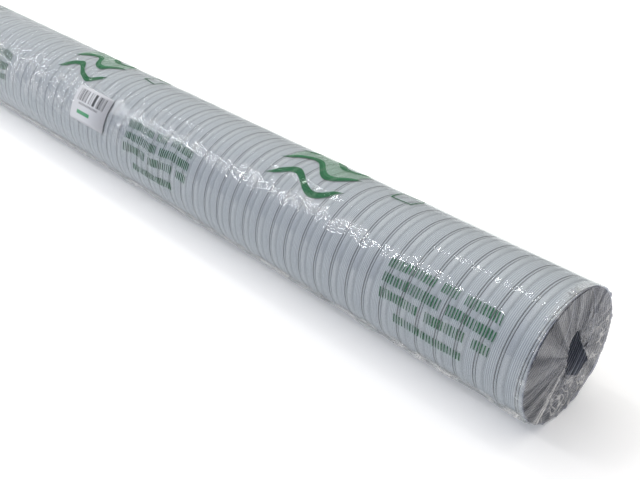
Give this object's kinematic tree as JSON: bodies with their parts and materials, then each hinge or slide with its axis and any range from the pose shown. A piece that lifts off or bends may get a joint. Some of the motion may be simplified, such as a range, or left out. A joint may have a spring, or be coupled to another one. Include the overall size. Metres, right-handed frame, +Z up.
{
  "type": "aluminium flexible duct",
  "caption": "Compressed length of white-enamelled helical corrugated aluminium flexible duct, wrapped in a clear printed shrink sleeve with a paper label.",
  "frame": {"origin": "on the floor under the middle of the duct", "axes": "+X along the duct's axis towards the end that faces the viewer in the picture, +Z up, -Y towards the viewer"},
  "size_m": [1.0014, 0.0854, 0.0854],
  "materials": {
    "white_enamel": "semi-gloss white enamel on thin aluminium strip, bare metal inside",
    "clear_film": "clear crinkled shrink film with green print",
    "label_paper": "semi-gloss coated paper"
  },
  "bodies": {
    "root": {"duct": "white_enamel", "wrap_film": "clear_film", "label": "label_paper"}
  },
  "joints": []
}
